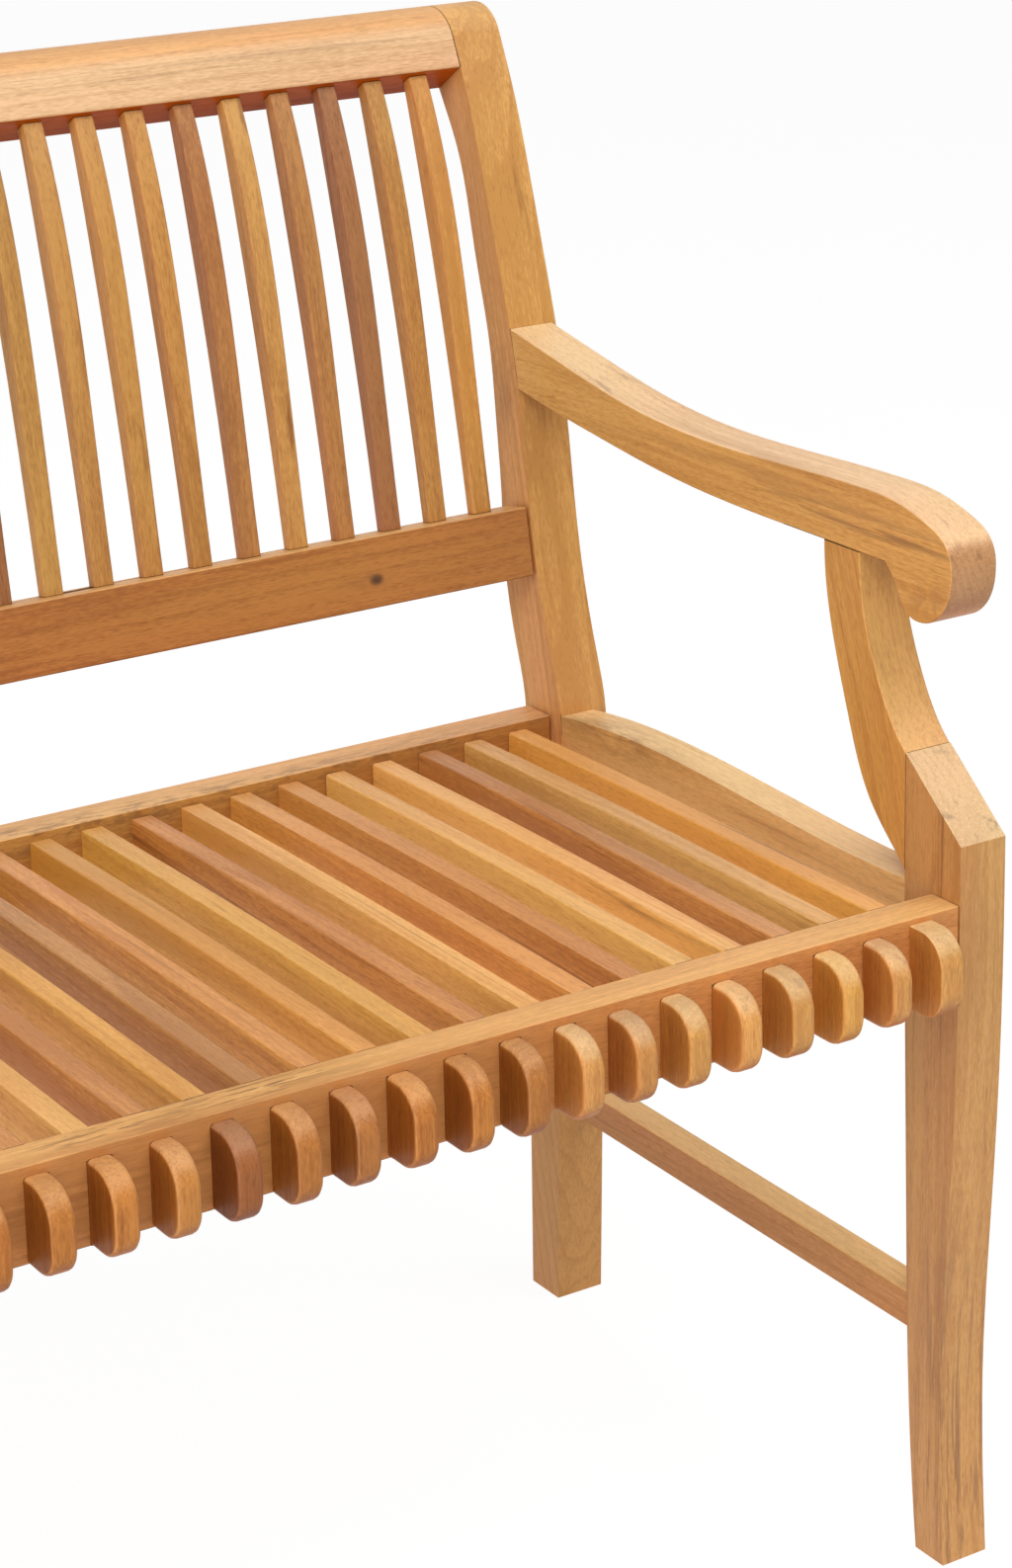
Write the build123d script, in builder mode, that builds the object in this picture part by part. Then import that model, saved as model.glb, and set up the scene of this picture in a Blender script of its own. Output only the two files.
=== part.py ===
from build123d import *
from math import atan2, cos, degrees, radians, sin, tan
import os

os.makedirs("parts", exist_ok=True)

# A teak garden bench, in millimetres. +Z is up, -Y is the front and +X is on the left of
# someone sitting on it. The origin is on the ground under the middle of the bench. The ends
# are drawn in side view: distance back from the front face of the front legs, then height.

# Whole bench
seat_width = 1206  # between the inner faces of the two ends
seat_depth = 424  # front face of the legs to the front face of the posts, at the seat
seat_height = 442  # top of the front seat rail
arm_height = 674  # top of the armrest, at its flat middle
back_height = 912  # top of the crest rail

# Front legs and arm supports
end_thickness = 34  # legs, supports and arms
leg_depth = 52
leg_foot_depth = 27
leg_foot_set_back = 8
ankle_height = 130  # narrow part of the sabre curve
ankle_depth = 32
ankle_set_back = 13
calf_rise = 110  # the fuller part of the curve, above the ankle
calf_front = 6  # in front of the ankle
calf_hollow = 4  # in from the back of the leg
shoulder_rise = 37  # front shoulder of the leg above the seat
shoulder_slope = 44  # rise of the leg's top from front to back
seam_length = 75  # glue seam between leg and support
support_depth = 35
support_lean = 46  # the top of the support stands this far behind the leg
# Points of the support's curves: back from its top's faces, or from the leg, and up from the seam
support_front_curve = (-19, 38)
support_rear_curve = [(-8.5, 57), (-24, 9)]
support_heel = (36, 37)

# Arms
arm_depth = 37
scroll_set_back = 12
scroll_length = 62
scroll_drop = 67  # top of the arm to the lowest point of its scroll
# Points of the arm's curves: back from the post's face at the seat, and up from the flat middle
arm_top_curve = [(66, 32), (5, 20), (-87, 4), (-174, -1)]
arm_foot_curve = [(-131, 4), (-41, 14), (58, 29)]
arm_flat_length = 40  # straight lower edge behind the support
# Points of the scroll: back from its front, and down from the top or up from the lowest point
scroll_top_rise = 3.5
scroll_top_length = 78
scroll_brow = (24, 5)
scroll_nose_drop = 31
scroll_chin = (12, 7)
scroll_foot_length = 31
scroll_throat = (10, 11)  # in front of the notch and below it

# Posts
post_thickness = 37
post_foot_depth = 33
post_knee_drop = 12  # the straight leg ends this far below the seat
post_hip_rise = 38  # a point of the curve above the seat
post_hip_set_back = 10.5
post_foot_kick = 16  # the foot stands this far behind the post's face at the seat
post_seat_depth = 44
post_back_depth = 30
post_waist_extra = (11, 5)  # and this much deeper at the low rail's edges
waist_foot_set_back = 26.5  # post's face where the low rail begins, behind its face at the seat
waist_top_set_back = 35
# From the low rail's top to the crest: shares of the rise and of the lean, and change in depth
post_back_curve = [(0.18, 0.093, 3), (0.36, 0.22, 0), (0.57, 0.447, -1), (0.81, 0.727, -2)]

# Crest rail, a leaning board with a rolled top
crest_set_back = 110  # lower front edge, behind the post's face at the seat
crest_face_height = 37  # lower front edge to the top
crest_thickness = 34
crest_slope = 33  # slope of the underside, down towards the back
crest_face_lean = 24
crest_back_lean = 30
crest_front_roll = 29
crest_rear_roll = 13

# Low back rail
low_rail_rise = 95.5  # lower edge above the seat
low_rail_height = 47.5
low_rail_thickness = 24

# Back slats
back_slat_count = 33
back_slat_width = 14
back_slat_margin = 31  # middle of the first slat to the end's inner face
back_slat_foot_depth = 9.5
back_slat_belly_depth = 17
back_slat_top_depth = 10
back_slat_set_back = 10  # behind the low rail's face
back_slat_top_set_back = 6  # behind the crest's face
back_slat_curve = [(0.22, 0.16), (0.616, 0.458)]  # its waist and belly: shares of its rise and lean

# Seat rails
rail_height = 54
front_rail_thickness = 25.5
front_rail_set_back = 1
rear_rail_thickness = 27.5
rear_rail_set_back = 10  # behind the post's face
side_rail_thickness = 26
side_rail_crown = 7.5  # rise of its top above the seat, towards the back
side_rail_crown_back = 140  # and that far in front of the post
side_rail_end_rise = 1  # rise at its ends
side_rail_level = 90  # its top is about level for this far from the leg
side_rail_reveal = 0.5  # in from the inner face of the end

# Seat slats, a little wider apart at the back
seat_slat_count = 33
seat_slat_width = 14.5
seat_slat_height = 29
seat_slat_front_margin = 39.9
seat_slat_rear_margin = 29.3
seat_slat_front_drop = 0.5  # each drop is below the top of the front rail
seat_slat_rear_drop = 5.5
seat_slat_level = 110  # its top is level for this far from the front, then falls in an arc

# Blocks on the front rail
block_count = 33
block_width = 15.4
block_height = 50
block_projection = 30
block_margin = 28.75
block_drop = 5  # below the top of the rail
block_top_roll = 20
block_foot_roll = 17

# Side stretchers
stretcher_height = 24
stretcher_thickness = 22
stretcher_top = 167  # at the front leg
stretcher_rise = 4  # and this much higher at the post

# Joints
glue_gap = 0.1  # round each tenon, dowel and peg
rail_end_gap = 2.5  # open line at the ends of the low back rail and the rear seat rail
tenon_thickness = 10
tenon_length = 20
tenon_shoulder = 9  # from a rail's upper and lower edges to its tenon
crest_tenon_height = 24
side_tenon_length = 14
stretcher_shoulder = 4
slat_tenon_width = 8
slat_tenon_length = 10
slat_shoulder = 4
back_slat_tenon_depth = 6
dowel_radius = 4
dowel_length = 28
dowel_spacing = 18
peg_radius = 4
peg_skin = 5  # wood left beyond the blind end of a peg
peg_tip = 3  # a peg from the back runs this far past its tenon
tenon_root = 5  # a tenon's own block starts this far inside its rail
peg_spacing = 22

# Lines and levels that the pieces share, in side view
leg_middle = leg_depth / 2
post_middle = seat_depth + post_seat_depth / 2
side_rail_end = seat_height + side_rail_end_rise
inner_face = seat_width / 2
outer_face = inner_face + end_thickness
end_middle = inner_face + end_thickness / 2
rail_foot = seat_height - rail_height
rail_middle = seat_height - rail_height / 2
shoulder_height = seat_height + shoulder_rise
seam_top = shoulder_height + shoulder_slope
seam_foot = seam_top - seam_length
support_front = leg_depth + support_lean
support_rear = support_front + support_depth
arm_foot = arm_height - arm_depth
crest_front = seat_depth + crest_set_back
crest_foot = back_height - crest_face_height
front_rail_rear = front_rail_set_back + front_rail_thickness
rear_rail_front = seat_depth + rear_rail_set_back
stretcher_foot = stretcher_top - stretcher_height
stretcher_middle = stretcher_top - stretcher_height / 2
stretcher_rear_middle = stretcher_middle + stretcher_rise
low_rail_foot = seat_height + low_rail_rise
waist_rise = waist_top_set_back - waist_foot_set_back
low_rail_lean = degrees(atan2(waist_rise, low_rail_height))


def low_rail_point(across, up):
    """A point of the leaning low rail, from its lower front edge."""
    lean = radians(low_rail_lean)
    back = seat_depth + waist_foot_set_back + across * cos(lean) + up * sin(lean)
    return (back, low_rail_foot - across * sin(lean) + up * cos(lean))


def crest_point(across, up):
    """A point of the leaning crest rail, from its lower front edge."""
    slope = radians(crest_slope)
    back = crest_front + across * cos(slope) + up * sin(slope)
    return (back, crest_foot - across * sin(slope) + up * cos(slope))


# Side views
crest_face_foot = crest_point(0, 0)
crest_back_foot = crest_point(crest_thickness, 0)
crest_face_direction = (tan(radians(crest_face_lean)), 1)
crest_back_direction = (tan(radians(crest_back_lean)), 1)
crest_back_rise = back_height - crest_back_foot[1]
crest_face_top = (crest_front + crest_face_height * crest_face_direction[0], back_height)
crest_back_top = (crest_back_foot[0] + crest_back_rise * crest_back_direction[0], back_height)

with BuildSketch() as crest_outline:
    with BuildLine():
        Polyline(crest_face_foot, crest_face_top, crest_back_top, crest_back_foot, close=True)
    make_face()
    crest_tops = crest_outline.vertices().sort_by(Axis.Y)[-2:].sort_by(Axis.X)
    fillet(crest_tops[0], crest_front_roll)
    fillet(crest_outline.vertices().sort_by(Axis.X)[-1], crest_rear_roll)

# Height, face and depth of the post: round the seat, past the low rail, then up to the crest
low_rail_top = low_rail_foot + low_rail_height
waist_top_face = seat_depth + waist_top_set_back
post_stations = [
    (seat_height - post_knee_drop, seat_depth, post_seat_depth),
    (seat_height + post_hip_rise, seat_depth + post_hip_set_back, post_seat_depth),
    (low_rail_foot, seat_depth + waist_foot_set_back, post_back_depth + post_waist_extra[0]),
    (low_rail_top, waist_top_face, post_back_depth + post_waist_extra[1]),
]
post_stations += [
    (
        low_rail_top + up * (crest_foot - low_rail_top),
        waist_top_face + back * (crest_front - waist_top_face),
        post_back_depth + change,
    )
    for up, back, change in post_back_curve
]
post_face = [(face, height) for height, face, depth in post_stations]
post_rear = [(face + depth, height) for height, face, depth in post_stations]
post_face.append(crest_face_foot)
post_rear.append(crest_back_foot)
post_foot_front = (seat_depth + post_foot_kick, 0)
post_foot_rear = (seat_depth + post_foot_kick + post_foot_depth, 0)

with BuildSketch() as post_outline:
    with BuildLine():
        leg_face = Line(post_foot_front, post_face[0])
        Spline(*post_face, tangents=(leg_face % 1, crest_face_direction))
        Line(crest_face_foot, crest_back_foot)
        leg_back = Line(post_foot_rear, post_rear[0])
        Spline(*post_rear, tangents=(leg_back % 1, crest_back_direction))
        Line(post_foot_front, post_foot_rear)
    make_face()
    add(crest_outline.sketch)

with BuildSketch() as low_rail_outline:
    with BuildLine():
        Polyline(
            low_rail_point(0, 0),
            low_rail_point(0, low_rail_height),
            low_rail_point(low_rail_thickness, low_rail_height),
            low_rail_point(low_rail_thickness, 0),
            close=True,
        )
    make_face()

with BuildSketch() as leg_outline:
    foot_front = (leg_foot_set_back, 0)
    foot_rear = (leg_foot_set_back + leg_foot_depth, 0)
    with BuildLine():
        Spline(
            foot_front,
            (ankle_set_back, ankle_height),
            (ankle_set_back - calf_front, ankle_height + calf_rise),
            (0, seat_height),
            tangents=((5, 70), (0, 1)),
        )
        Polyline(
            (0, seat_height),
            (0, shoulder_height),
            (leg_depth, seam_top),
            (leg_depth, seam_foot),
        )
        Spline(
            (leg_depth, seam_foot),
            (leg_depth - calf_hollow, ankle_height + calf_rise),
            (ankle_set_back + ankle_depth, ankle_height),
            foot_rear,
            tangents=((0, -1), (-6, -50)),
        )
        Line(foot_rear, foot_front)
    make_face()

with BuildSketch() as support_outline:
    support_front_point = (support_front + support_front_curve[0], seam_top + support_front_curve[1])
    support_rear_points = [(support_rear + back, seam_top + up) for back, up in support_rear_curve]
    with BuildLine():
        Line((leg_depth, seam_foot), (leg_depth, seam_top))
        Spline(
            (leg_depth, seam_top),
            support_front_point,
            (support_front, arm_foot),
            tangents=((leg_depth, shoulder_slope), (0, 1)),
        )
        Line((support_front, arm_foot), (support_rear, arm_foot))
        Spline(
            (support_rear, arm_foot),
            *support_rear_points,
            (leg_depth + support_heel[0], seam_foot + support_heel[1]),
            (leg_depth, seam_foot),
            tangents=((0, -1), (-1, -1)),
        )
    make_face()

with BuildSketch() as arm_outline:
    arm_top_points = [(seat_depth + back, arm_height + up) for back, up in arm_top_curve]
    arm_foot_points = [(seat_depth + back, arm_foot + up) for back, up in arm_foot_curve]
    scroll_low = arm_height - scroll_drop
    notch = (scroll_set_back + scroll_length, arm_foot)
    scroll_top = (scroll_set_back + scroll_top_length, arm_height + scroll_top_rise)
    scroll_front = (scroll_set_back, arm_height - scroll_nose_drop)
    scroll_foot = (scroll_set_back + scroll_foot_length, scroll_low)
    arm_flat_end = (support_rear + arm_flat_length, arm_foot)
    with BuildLine():
        Spline(
            *arm_top_points,
            scroll_top,
            tangents=((-5, -1), (-1, 0)),
        )
        Spline(
            scroll_top,
            (scroll_set_back + scroll_brow[0], arm_height - scroll_brow[1]),
            scroll_front,
            tangents=((-1, 0), (0, -1)),
        )
        Spline(
            scroll_front,
            (scroll_set_back + scroll_chin[0], scroll_low + scroll_chin[1]),
            scroll_foot,
            tangents=((0, -1), (1, 0)),
        )
        Spline(
            scroll_foot,
            (notch[0] - scroll_throat[0], notch[1] - scroll_throat[1]),
            notch,
            tangents=((1, 0), (1, 1)),
        )
        Line(notch, arm_flat_end)
        Spline(
            arm_flat_end,
            *arm_foot_points,
            tangents=((1, 0), (5, 1)),
        )
        Line(arm_foot_points[-1], arm_top_points[0])
    make_face()
    add(post_outline.sketch, mode=Mode.SUBTRACT)

with BuildSketch() as side_rail_outline:
    with BuildLine():
        Polyline(
            (leg_depth, side_rail_end),
            (leg_middle, side_rail_end),
            (leg_middle, rail_foot),
            (post_middle, rail_foot),
            (post_middle, side_rail_end),
            (seat_depth, side_rail_end),
        )
        Spline(
            (leg_depth, side_rail_end),
            (leg_depth + side_rail_level, side_rail_end),
            (seat_depth - side_rail_crown_back, seat_height + side_rail_crown),
            (seat_depth, side_rail_end),
        )
    make_face()
    add(post_outline.sketch, mode=Mode.SUBTRACT)
    add(leg_outline.sketch, mode=Mode.SUBTRACT)

with BuildSketch() as stretcher_outline:
    with BuildLine():
        Polyline(
            (leg_middle, stretcher_foot),
            (post_middle, stretcher_foot + stretcher_rise),
            (post_middle, stretcher_top + stretcher_rise),
            (leg_middle, stretcher_top),
            close=True,
        )
    make_face()
    add(post_outline.sketch, mode=Mode.SUBTRACT)
    add(leg_outline.sketch, mode=Mode.SUBTRACT)

with BuildSketch() as block_outline:
    block_top = seat_height - block_drop
    block_front = front_rail_set_back - block_projection
    with BuildLine():
        Polyline(
            (front_rail_set_back, block_top),
            (block_front, block_top),
            (block_front, block_top - block_height),
            (front_rail_set_back, block_top - block_height),
            close=True,
        )
    make_face()
    fillet(block_outline.vertices().group_by(Axis.X)[0].sort_by(Axis.Y)[0], block_foot_roll)
    fillet(block_outline.vertices().group_by(Axis.X)[0].sort_by(Axis.Y)[-1], block_top_roll)

with BuildSketch() as back_slat_outline:
    foot_front = low_rail_point(back_slat_set_back, low_rail_height)
    foot_rear = low_rail_point(back_slat_set_back + back_slat_foot_depth, low_rail_height)
    top_front = crest_point(back_slat_top_set_back, 0)
    top_rear = crest_point(back_slat_top_set_back + back_slat_top_depth, 0)
    slat_back = top_front[0] - foot_front[0]
    slat_up = top_front[1] - foot_front[1]
    waist, belly = (
        (foot_front[0] + back * slat_back, foot_front[1] + up * slat_up)
        for up, back in back_slat_curve
    )
    with BuildLine():
        Spline(foot_front, waist, belly, top_front)
        Spline(foot_rear, (belly[0] + back_slat_belly_depth, belly[1]), top_rear)
        Line(foot_front, foot_rear)
        Line(top_front, top_rear)
    make_face()

# Placing and joining

back_reach = post_outline.sketch.bounding_box().max.X
depth_middle = (block_front + back_reach) / 2


def side_view(x):
    """The plane of the side views at x, facing +X."""
    return Plane(origin=(x, -depth_middle, 0), x_dir=(0, 1, 0), z_dir=(1, 0, 0))


def place(x, back, height, turns=(0, 0, 0)):
    """A place given as in the side views, and turned about X, Y and Z."""
    return Location((x, back - depth_middle, height), turns)


def row(count, margin):
    """Even places along the seat, with a margin at each end."""
    reach = inner_face - margin
    return [reach * (2 * i / (count - 1) - 1) for i in range(count)]


def post_face_at(height):
    """How far back the post's front face is at a height above the seat."""
    lower, upper = next(pair for pair in zip(post_face, post_face[1:]) if height <= pair[1][1])
    share = (height - lower[1]) / (upper[1] - lower[1])
    return lower[0] + share * (upper[0] - lower[0])


def tenons(places, size, mode=Mode.ADD):
    """Tenons, or with Mode.SUBTRACT the mortises that they fit."""
    gap = glue_gap if mode == Mode.SUBTRACT else 0
    with Locations(*places):
        Box(*(side + 2 * gap for side in size), mode=mode)


def rods(places, radius, length, mode=Mode.ADD):
    """Pegs or dowels, or with Mode.SUBTRACT the holes that they fit."""
    gap = glue_gap if mode == Mode.SUBTRACT else 0
    with Locations(*places):
        Cylinder(radius + gap, length + 2 * gap, mode=mode)


def save(piece, name):
    piece.part.label = name
    export_step(piece.part, f"parts/{name}.step")


# Tenons, each a place at its middle and a size. Each one also runs back into its own rail.
rail_tenon_middle = inner_face + (tenon_length - tenon_root) / 2
rail_tenon_run = tenon_length + tenon_root
both_ends = (rail_tenon_middle, -rail_tenon_middle)
rail_tenon_size = (rail_tenon_run, tenon_thickness, rail_height - 2 * tenon_shoulder)
front_rail_middle = front_rail_set_back + front_rail_thickness / 2
rear_rail_middle = rear_rail_front + rear_rail_thickness / 2
front_rail_tenons = [place(x, front_rail_middle, rail_middle) for x in both_ends]
rear_rail_tenons = [place(x, rear_rail_middle, rail_middle) for x in both_ends]

low_rail_tenon_size = (rail_tenon_run, tenon_thickness, low_rail_height - 2 * tenon_shoulder)
low_rail_middle = low_rail_point(low_rail_thickness / 2, low_rail_height / 2)
low_rail_tenons = [place(x, *low_rail_middle, (-low_rail_lean, 0, 0)) for x in both_ends]

crest_tenon_size = (rail_tenon_run, tenon_thickness, crest_tenon_height)
crest_middle = crest_point(crest_thickness / 2, tenon_shoulder + crest_tenon_height / 2)
crest_tenons = [place(x, *crest_middle, (-crest_slope, 0, 0)) for x in both_ends]

side_rail_middle = inner_face + side_rail_reveal + side_rail_thickness / 2
side_tenon_run = side_tenon_length + tenon_root
side_tenon_reach = (side_tenon_length - tenon_root) / 2
side_tenon_size = (tenon_thickness, side_tenon_run, rail_height - 2 * tenon_shoulder)
side_rail_tenons = [
    place(side_rail_middle, leg_depth - side_tenon_reach, rail_middle),
    place(side_rail_middle, seat_depth + side_tenon_reach, rail_middle),
]

stretcher_tenon_size = (tenon_thickness, side_tenon_run, stretcher_height - 2 * stretcher_shoulder)
leg_at_stretcher = ankle_set_back + ankle_depth
post_at_stretcher = seat_depth + post_foot_kick * (1 - stretcher_rear_middle / seat_height)
stretcher_tenons = [
    place(end_middle, leg_at_stretcher - side_tenon_reach, stretcher_middle),
    place(end_middle, post_at_stretcher + side_tenon_reach, stretcher_rear_middle),
]

slat_tenon_run = slat_tenon_length + tenon_root
slat_tenon_reach = (slat_tenon_length - tenon_root) / 2
back_slat_tenon_size = (slat_tenon_width, back_slat_tenon_depth, slat_tenon_run)
back_slat_places = row(back_slat_count, back_slat_margin)
slat_foot_middle = low_rail_point(
    back_slat_set_back + back_slat_foot_depth / 2,
    low_rail_height - slat_tenon_reach,
)
slat_top_middle = crest_point(back_slat_top_set_back + back_slat_top_depth / 2, slat_tenon_reach)
back_slat_feet = [place(x, *slat_foot_middle, (-low_rail_lean, 0, 0)) for x in back_slat_places]
back_slat_tops = [place(x, *slat_top_middle, (-crest_slope, 0, 0)) for x in back_slat_places]

seat_slat_front_top = seat_height - seat_slat_front_drop
seat_slat_foot = seat_slat_front_top - seat_slat_height
seat_slat_rear_top = seat_height - seat_slat_rear_drop
seat_slat_tenon_height = seat_slat_rear_top - seat_slat_foot - 2 * slat_shoulder
seat_slat_tenon_size = (slat_tenon_width, slat_tenon_run, seat_slat_tenon_height)
seat_slat_tenon_middle = (seat_slat_rear_top + seat_slat_foot) / 2
seat_slat_run = rear_rail_front - front_rail_rear
seat_slat_fronts = row(seat_slat_count, seat_slat_front_margin)
seat_slat_rears = row(seat_slat_count, seat_slat_rear_margin)
seat_slat_ends = list(zip(seat_slat_fronts, seat_slat_rears))


def seat_slat_tenon(front_x, rear_x, back):
    """The place of a seat slat's tenon, in line with the slat."""
    turn = degrees(atan2(front_x - rear_x, seat_slat_run))
    x = front_x + (rear_x - front_x) * (back - front_rail_rear) / seat_slat_run
    return place(x, back, seat_slat_tenon_middle, (0, 0, turn))


front_tenon_back = front_rail_rear - slat_tenon_reach
rear_tenon_back = rear_rail_front + slat_tenon_reach
front_slat_tenons = [seat_slat_tenon(*ends, front_tenon_back) for ends in seat_slat_ends]
rear_slat_tenons = [seat_slat_tenon(*ends, rear_tenon_back) for ends in seat_slat_ends]

# Pegs through the tenons, driven in from the outer sides and from the back of the posts
leg_peg_length = end_thickness - peg_skin
leg_peg_x = outer_face - leg_peg_length / 2
post_peg_length = post_thickness - peg_skin
post_peg_x = inner_face + post_thickness - post_peg_length / 2
rail_peg_heights = (rail_middle - peg_spacing / 2, rail_middle + peg_spacing / 2)
leg_peg_back = leg_depth - side_tenon_length / 2
post_peg_back = seat_depth + side_tenon_length / 2
across = (0, 90, 0)
leg_pegs = [place(leg_peg_x, leg_peg_back, z, across) for z in rail_peg_heights]
leg_pegs.append(
    place(leg_peg_x, leg_at_stretcher - side_tenon_length / 2, stretcher_middle, across)
)
post_pegs = [place(post_peg_x, post_peg_back, z, across) for z in rail_peg_heights]
post_pegs.append(
    place(post_peg_x, post_at_stretcher + side_tenon_length / 2, stretcher_rear_middle, across)
)
back_peg_x = inner_face + tenon_length / 2
back_peg_length = 2 * post_seat_depth  # cut off flush with the back of the post
back_peg_start = back_peg_length / 2 - tenon_thickness / 2 - peg_tip
low_rail_peg = low_rail_point(low_rail_thickness / 2 + back_peg_start, low_rail_height / 2)
crest_peg = crest_point(
    crest_thickness / 2 + back_peg_start,
    tenon_shoulder + crest_tenon_height / 2,
)


def back_peg_places(x):
    """The pegs driven into one post from the back."""
    return [
        *(place(x, rear_rail_middle + back_peg_start, z, (90, 0, 0)) for z in rail_peg_heights),
        place(x, *low_rail_peg, (90 - low_rail_lean, 0, 0)),
        place(x, *crest_peg, (90 - crest_slope, 0, 0)),
    ]


back_pegs = back_peg_places(back_peg_x)
back_peg_holes = back_pegs + back_peg_places(-back_peg_x)

# Dowels of the arms and supports
arm_end_height = (arm_top_points[0][1] + arm_foot_points[-1][1]) / 2
support_dowel_places = [
    place(end_middle, leg_depth, seam_foot + seam_length / 2 + step, (90, 0, 0))
    for step in (-dowel_spacing, dowel_spacing)
]
arm_support_dowel_places = [
    place(end_middle, (support_front + support_rear) / 2 + step, arm_foot)
    for step in (-dowel_spacing / 2, dowel_spacing / 2)
]
arm_post_dowel_places = [
    place(end_middle, post_face_at(arm_end_height + step), arm_end_height + step, (90, 0, 0))
    for step in (-dowel_spacing / 2, dowel_spacing / 2)
]
block_places = row(block_count, block_margin)
block_dowel_height = block_top - block_height / 2
block_dowel_places = [place(x, front_rail_set_back, block_dowel_height, (90, 0, 0)) for x in block_places]

# The ends: one side is made and the other mirrored

with BuildPart() as rear_post:
    with BuildSketch(side_view(inner_face)):
        add(post_outline.sketch)
    extrude(amount=post_thickness)
    tenons(rear_rail_tenons, rail_tenon_size, Mode.SUBTRACT)
    tenons(low_rail_tenons, low_rail_tenon_size, Mode.SUBTRACT)
    tenons(crest_tenons, crest_tenon_size, Mode.SUBTRACT)
    tenons(side_rail_tenons, side_tenon_size, Mode.SUBTRACT)
    tenons(stretcher_tenons, stretcher_tenon_size, Mode.SUBTRACT)
    rods(post_pegs, peg_radius, post_peg_length, Mode.SUBTRACT)
    rods(back_pegs, peg_radius, back_peg_length, Mode.SUBTRACT)
    rods(arm_post_dowel_places, dowel_radius, dowel_length, Mode.SUBTRACT)

with BuildPart() as front_leg:
    with BuildSketch(side_view(inner_face)):
        add(leg_outline.sketch)
    extrude(amount=end_thickness)
    tenons(front_rail_tenons, rail_tenon_size, Mode.SUBTRACT)
    tenons(side_rail_tenons, side_tenon_size, Mode.SUBTRACT)
    tenons(stretcher_tenons, stretcher_tenon_size, Mode.SUBTRACT)
    rods(leg_pegs, peg_radius, leg_peg_length, Mode.SUBTRACT)
    rods(support_dowel_places, dowel_radius, dowel_length, Mode.SUBTRACT)

with BuildPart() as arm_support:
    with BuildSketch(side_view(inner_face)):
        add(support_outline.sketch)
    extrude(amount=end_thickness)
    rods(support_dowel_places, dowel_radius, dowel_length, Mode.SUBTRACT)
    rods(arm_support_dowel_places, dowel_radius, dowel_length, Mode.SUBTRACT)

with BuildPart() as arm:
    with BuildSketch(side_view(inner_face)):
        add(arm_outline.sketch)
    extrude(amount=end_thickness)
    rods(arm_support_dowel_places, dowel_radius, dowel_length, Mode.SUBTRACT)
    rods(arm_post_dowel_places, dowel_radius, dowel_length, Mode.SUBTRACT)

with BuildPart() as side_seat_rail:
    with BuildSketch(side_view(inner_face + side_rail_reveal)):
        add(side_rail_outline.sketch)
    extrude(amount=side_rail_thickness)
    tenons(side_rail_tenons, side_tenon_size)
    rods(leg_pegs + post_pegs, peg_radius, 2 * end_thickness, Mode.SUBTRACT)

with BuildPart() as side_stretcher:
    with BuildSketch(side_view(end_middle - stretcher_thickness / 2)):
        add(stretcher_outline.sketch)
    extrude(amount=stretcher_thickness)
    tenons(stretcher_tenons, stretcher_tenon_size)
    rods(leg_pegs + post_pegs, peg_radius, 2 * end_thickness, Mode.SUBTRACT)

with BuildPart() as side_joint_pegs:
    rods(leg_pegs, peg_radius, leg_peg_length)
    rods(post_pegs, peg_radius, post_peg_length)

with BuildPart() as support_dowels:
    rods(support_dowel_places, dowel_radius, dowel_length)

with BuildPart() as arm_dowels:
    rods(arm_support_dowel_places, dowel_radius, dowel_length)
    rods(arm_post_dowel_places, dowel_radius, dowel_length)

end_pieces = {
    "rear_post": rear_post,
    "front_leg": front_leg,
    "arm_support": arm_support,
    "arm": arm,
    "side_seat_rail": side_seat_rail,
    "side_stretcher": side_stretcher,
    "side_joint_pegs": side_joint_pegs,
    "support_dowels": support_dowels,
    "arm_dowels": arm_dowels,
}
for name, piece in end_pieces.items():
    save(piece, f"{name}_right")
    with BuildPart() as twin:
        add(piece.part)
        mirror(about=Plane.YZ, mode=Mode.REPLACE)
    save(twin, f"{name}_left")

with BuildPart() as back_joint_pegs:
    rods(back_pegs, peg_radius, back_peg_length)
    with BuildSketch(side_view(inner_face)):
        add(post_outline.sketch)
    extrude(amount=post_thickness, mode=Mode.INTERSECT)
    mirror(about=Plane.YZ)
save(back_joint_pegs, "back_joint_pegs")

# The long rails

with BuildPart() as crest_rail:
    with BuildSketch(side_view(-inner_face)):
        add(crest_outline.sketch)
    extrude(amount=seat_width)
    tenons(crest_tenons, crest_tenon_size)
    tenons(back_slat_tops, back_slat_tenon_size, Mode.SUBTRACT)
    rods(back_peg_holes, peg_radius, back_peg_length, Mode.SUBTRACT)
save(crest_rail, "crest_rail")

with BuildPart() as lower_back_rail:
    with BuildSketch(side_view(rail_end_gap - inner_face)):
        add(low_rail_outline.sketch)
    extrude(amount=seat_width - 2 * rail_end_gap)
    tenons(low_rail_tenons, low_rail_tenon_size)
    tenons(back_slat_feet, back_slat_tenon_size, Mode.SUBTRACT)
    rods(back_peg_holes, peg_radius, back_peg_length, Mode.SUBTRACT)
save(lower_back_rail, "lower_back_rail")

with BuildPart() as rear_seat_rail:
    with BuildSketch(side_view(rail_end_gap - inner_face)):
        with Locations((rear_rail_middle, rail_middle)):
            Rectangle(rear_rail_thickness, rail_height)
    extrude(amount=seat_width - 2 * rail_end_gap)
    tenons(rear_rail_tenons, rail_tenon_size)
    tenons(rear_slat_tenons, seat_slat_tenon_size, Mode.SUBTRACT)
    rods(back_peg_holes, peg_radius, back_peg_length, Mode.SUBTRACT)
save(rear_seat_rail, "rear_seat_rail")

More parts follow.
